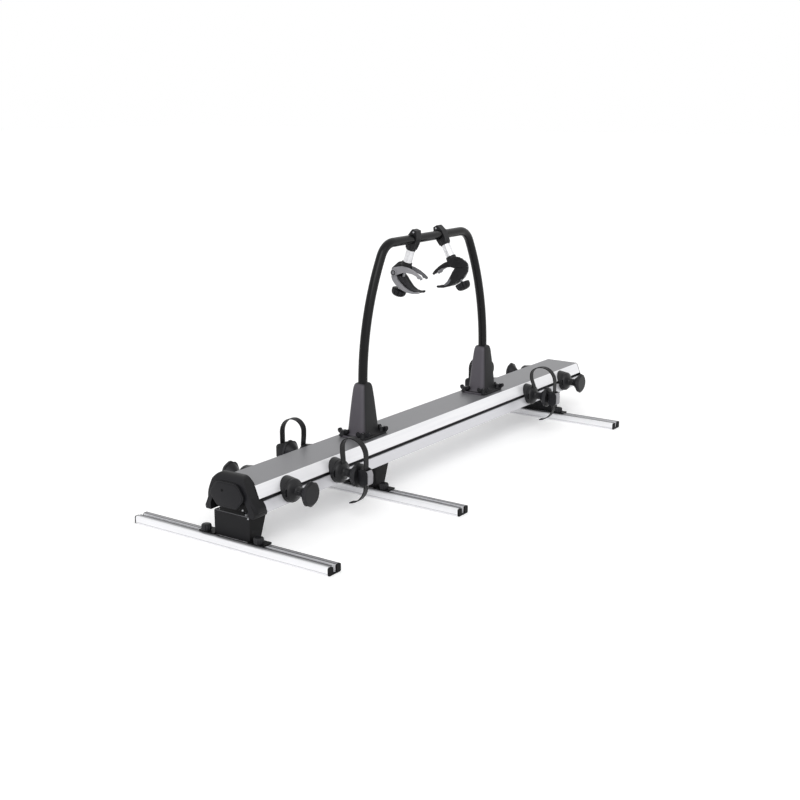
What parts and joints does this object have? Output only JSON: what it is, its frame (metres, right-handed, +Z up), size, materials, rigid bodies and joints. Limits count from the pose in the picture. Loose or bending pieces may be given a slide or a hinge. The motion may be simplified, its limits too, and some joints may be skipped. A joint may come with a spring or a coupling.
{
  "type": "slide-out bicycle carrier",
  "caption": "Floor-mounted slide-out bicycle carrier: a long beam on cross rails, with wheel chocks, wheel straps and a hoop that holds swinging frame clamps.",
  "frame": {"origin": "on the floor under the middle of the front rail, midway between its two floor screws", "axes": "+X along the beam to its rear end, +Y along the rails to the far side, +Z up"},
  "size_m": [1.676, 0.646, 0.6772],
  "materials": {
    "rails": "clear anodised extrusion",
    "beam": "satin anodised extrusion",
    "fixed": "mill finish extrusion",
    "hoop": "satin black powder coat",
    "brackets": "fine textured black powder coat",
    "moulding": "moulded charcoal plastic with a soft sheen",
    "strap": "flexible black strap",
    "pads": "slippery black glide plastic",
    "arms": "bright tube",
    "jaws": "grey moulded jaws",
    "screws": "zinc plated"
  },
  "bodies": {
    "rails": {"rail_front": "rails", "rail_middle": "rails", "rail_rear": "rails", "rail_end_caps": "moulding"},
    "frame": {"bracket_front": "brackets", "bracket_middle": "brackets", "bracket_rear": "brackets", "bracket_bolts": "screws", "fixed_profile": "fixed", "glide_pads": "pads", "rail_bolts": "screws"},
    "beam": {"beam_profile": "beam", "tail_trim": "moulding", "nose_cap": "moulding", "lever_pin": "screws", "tower_front": "moulding", "tower_rear": "moulding", "hoop": "hoop", "wing_screws": "moulding"},
    "lever": {"release_lever": "moulding"},
    "rail_knob_front_near": {"rail_knob_front_near": "moulding"},
    "rail_knob_front_far": {"rail_knob_front_far": "moulding"},
    "rail_knob_middle_near": {"rail_knob_middle_near": "moulding"},
    "rail_knob_middle_far": {"rail_knob_middle_far": "moulding"},
    "rail_knob_rear_near": {"rail_knob_rear_near": "moulding"},
    "rail_knob_rear_far": {"rail_knob_rear_far": "moulding"},
    "chock_near_1": {"chock_near_1_cone": "moulding"},
    "chock_near_1_knob": {"chock_near_1_knob": "moulding"},
    "chock_near_2": {"chock_near_2_cone": "moulding", "strap_near_2": "strap", "buckle_near_2": "moulding"},
    "chock_near_2_knob": {"chock_near_2_knob": "moulding"},
    "chock_near_3": {"chock_near_3_cone": "moulding", "strap_near_3": "strap", "buckle_near_3": "moulding"},
    "chock_near_3_knob": {"chock_near_3_knob": "moulding"},
    "chock_near_4": {"chock_near_4_cone": "moulding"},
    "chock_near_4_knob": {"chock_near_4_knob": "moulding"},
    "chock_far_1": {"chock_far_1_cone": "moulding"},
    "chock_far_1_knob": {"chock_far_1_knob": "moulding"},
    "chock_far_2": {"chock_far_2_cone": "moulding", "strap_far_2": "strap", "buckle_far_2": "moulding"},
    "chock_far_2_knob": {"chock_far_2_knob": "moulding"},
    "chock_far_3": {"chock_far_3_cone": "moulding", "strap_far_3": "strap", "buckle_far_3": "moulding"},
    "chock_far_3_knob": {"chock_far_3_knob": "moulding"},
    "chock_far_4": {"chock_far_4_cone": "moulding"},
    "chock_far_4_knob": {"chock_far_4_knob": "moulding"},
    "clamp_left": {"collar_left": "moulding", "arm_left": "arms", "upper_jaw_left": "jaws"},
    "jaw_left": {"lower_jaw_left": "jaws"},
    "screw_left": {"grip_left": "moulding"},
    "clamp_right": {"collar_right": "moulding", "arm_right": "arms", "upper_jaw_right": "jaws"},
    "jaw_right": {"lower_jaw_right": "jaws"},
    "screw_right": {"grip_right": "moulding"}
  },
  "joints": [
    {"name": "cross_slide", "type": "slide", "parent": "rails", "child": "frame", "axis": [0, 1, 0], "range_m": [-0.15, 0.15]},
    {"name": "beam_slide", "type": "slide", "parent": "frame", "child": "beam", "axis": [-1, 0, 0], "range_m": [0, 0.8]},
    {"name": "lever_hinge", "type": "hinge", "parent": "beam", "child": "lever", "pos_m": [-0.01304, 0, 0.153], "axis": [0, 1, 0], "range_deg": [0, 20]},
    {"name": "rail_knob_front_near_turn", "type": "hinge", "parent": "frame", "child": "rail_knob_front_near", "pos_m": [0, -0.082, 0.03], "axis": [0, 0, 1], "continuous": true},
    {"name": "rail_knob_front_far_turn", "type": "hinge", "parent": "frame", "child": "rail_knob_front_far", "pos_m": [0, 0.082, 0.03], "axis": [0, 0, 1], "continuous": true},
    {"name": "rail_knob_middle_near_turn", "type": "hinge", "parent": "frame", "child": "rail_knob_middle_near", "pos_m": [0.497, -0.082, 0.03], "axis": [0, 0, 1], "continuous": true},
    {"name": "rail_knob_middle_far_turn", "type": "hinge", "parent": "frame", "child": "rail_knob_middle_far", "pos_m": [0.497, 0.082, 0.03], "axis": [0, 0, 1], "continuous": true},
    {"name": "rail_knob_rear_near_turn", "type": "hinge", "parent": "frame", "child": "rail_knob_rear_near", "pos_m": [1.478, -0.082, 0.03], "axis": [0, 0, 1], "continuous": true},
    {"name": "rail_knob_rear_far_turn", "type": "hinge", "parent": "frame", "child": "rail_knob_rear_far", "pos_m": [1.478, 0.082, 0.03], "axis": [0, 0, 1], "continuous": true},
    {"name": "chock_near_1_slide", "type": "slide", "parent": "beam", "child": "chock_near_1", "axis": [1, 0, 0], "range_m": [-0.04, 0.04]},
    {"name": "chock_near_1_knob_turn", "type": "hinge", "parent": "chock_near_1", "child": "chock_near_1_knob", "pos_m": [0.1275, -0.12, 0.1182], "axis": [0, -1, 0], "continuous": true},
    {"name": "chock_near_2_slide", "type": "slide", "parent": "beam", "child": "chock_near_2", "axis": [1, 0, 0], "range_m": [-0.04, 0.04]},
    {"name": "chock_near_2_knob_turn", "type": "hinge", "parent": "chock_near_2", "child": "chock_near_2_knob", "pos_m": [0.313, -0.12, 0.1182], "axis": [0, -1, 0], "continuous": true},
    {"name": "chock_near_3_slide", "type": "slide", "parent": "beam", "child": "chock_near_3", "axis": [1, 0, 0], "range_m": [-0.04, 0.04]},
    {"name": "chock_near_3_knob_turn", "type": "hinge", "parent": "chock_near_3", "child": "chock_near_3_knob", "pos_m": [1.296, -0.12, 0.1182], "axis": [0, -1, 0], "continuous": true},
    {"name": "chock_near_4_slide", "type": "slide", "parent": "beam", "child": "chock_near_4", "axis": [1, 0, 0], "range_m": [-0.04, 0.04]},
    {"name": "chock_near_4_knob_turn", "type": "hinge", "parent": "chock_near_4", "child": "chock_near_4_knob", "pos_m": [1.524, -0.12, 0.1182], "axis": [0, -1, 0], "continuous": true},
    {"name": "chock_far_1_slide", "type": "slide", "parent": "beam", "child": "chock_far_1", "axis": [1, 0, 0], "range_m": [-0.04, 0.04]},
    {"name": "chock_far_1_knob_turn", "type": "hinge", "parent": "chock_far_1", "child": "chock_far_1_knob", "pos_m": [0.145, 0.12, 0.1182], "axis": [0, 1, 0], "continuous": true},
    {"name": "chock_far_2_slide", "type": "slide", "parent": "beam", "child": "chock_far_2", "axis": [1, 0, 0], "range_m": [-0.04, 0.04]},
    {"name": "chock_far_2_knob_turn", "type": "hinge", "parent": "chock_far_2", "child": "chock_far_2_knob", "pos_m": [0.376, 0.12, 0.1182], "axis": [0, 1, 0], "continuous": true},
    {"name": "chock_far_3_slide", "type": "slide", "parent": "beam", "child": "chock_far_3", "axis": [1, 0, 0], "range_m": [-0.04, 0.04]},
    {"name": "chock_far_3_knob_turn", "type": "hinge", "parent": "chock_far_3", "child": "chock_far_3_knob", "pos_m": [1.32, 0.12, 0.1182], "axis": [0, 1, 0], "continuous": true},
    {"name": "chock_far_4_slide", "type": "slide", "parent": "beam", "child": "chock_far_4", "axis": [1, 0, 0], "range_m": [-0.04, 0.04]},
    {"name": "chock_far_4_knob_turn", "type": "hinge", "parent": "chock_far_4", "child": "chock_far_4_knob", "pos_m": [1.543, 0.12, 0.1182], "axis": [0, 1, 0], "continuous": true},
    {"name": "clamp_left_swing", "type": "hinge", "parent": "beam", "child": "clamp_left", "pos_m": [0.755, 0, 0.6497], "axis": [1, 0, 0], "range_deg": [-40, 60]},
    {"name": "jaw_left_hinge", "type": "hinge", "parent": "clamp_left", "child": "jaw_left", "pos_m": [0.755, 0.05498, 0.55531], "axis": [-1, 0, 0], "range_deg": [-14, 15]},
    {"name": "screw_left_turn", "type": "hinge", "parent": "jaw_left", "child": "screw_left", "pos_m": [0.755, 0.04784, 0.50753], "axis": [0, 0.319, -0.9478], "range_deg": [-450, 480]},
    {"name": "clamp_right_swing", "type": "hinge", "parent": "beam", "child": "clamp_right", "pos_m": [0.89, 0, 0.6497], "axis": [1, 0, 0], "range_deg": [-60, 40]},
    {"name": "jaw_right_hinge", "type": "hinge", "parent": "clamp_right", "child": "jaw_right", "pos_m": [0.89, -0.07054, 0.56629], "axis": [1, 0, 0], "range_deg": [-14, 15]},
    {"name": "screw_right_turn", "type": "hinge", "parent": "jaw_right", "child": "screw_right", "pos_m": [0.89, -0.0718, 0.518], "axis": [0, -0.4787, -0.878], "range_deg": [-450, 480]}
  ],
  "couplings": [
    {"joint": "screw_left_turn", "follows": "jaw_left_hinge", "ratio": 31},
    {"joint": "screw_right_turn", "follows": "jaw_right_hinge", "ratio": 31}
  ]
}
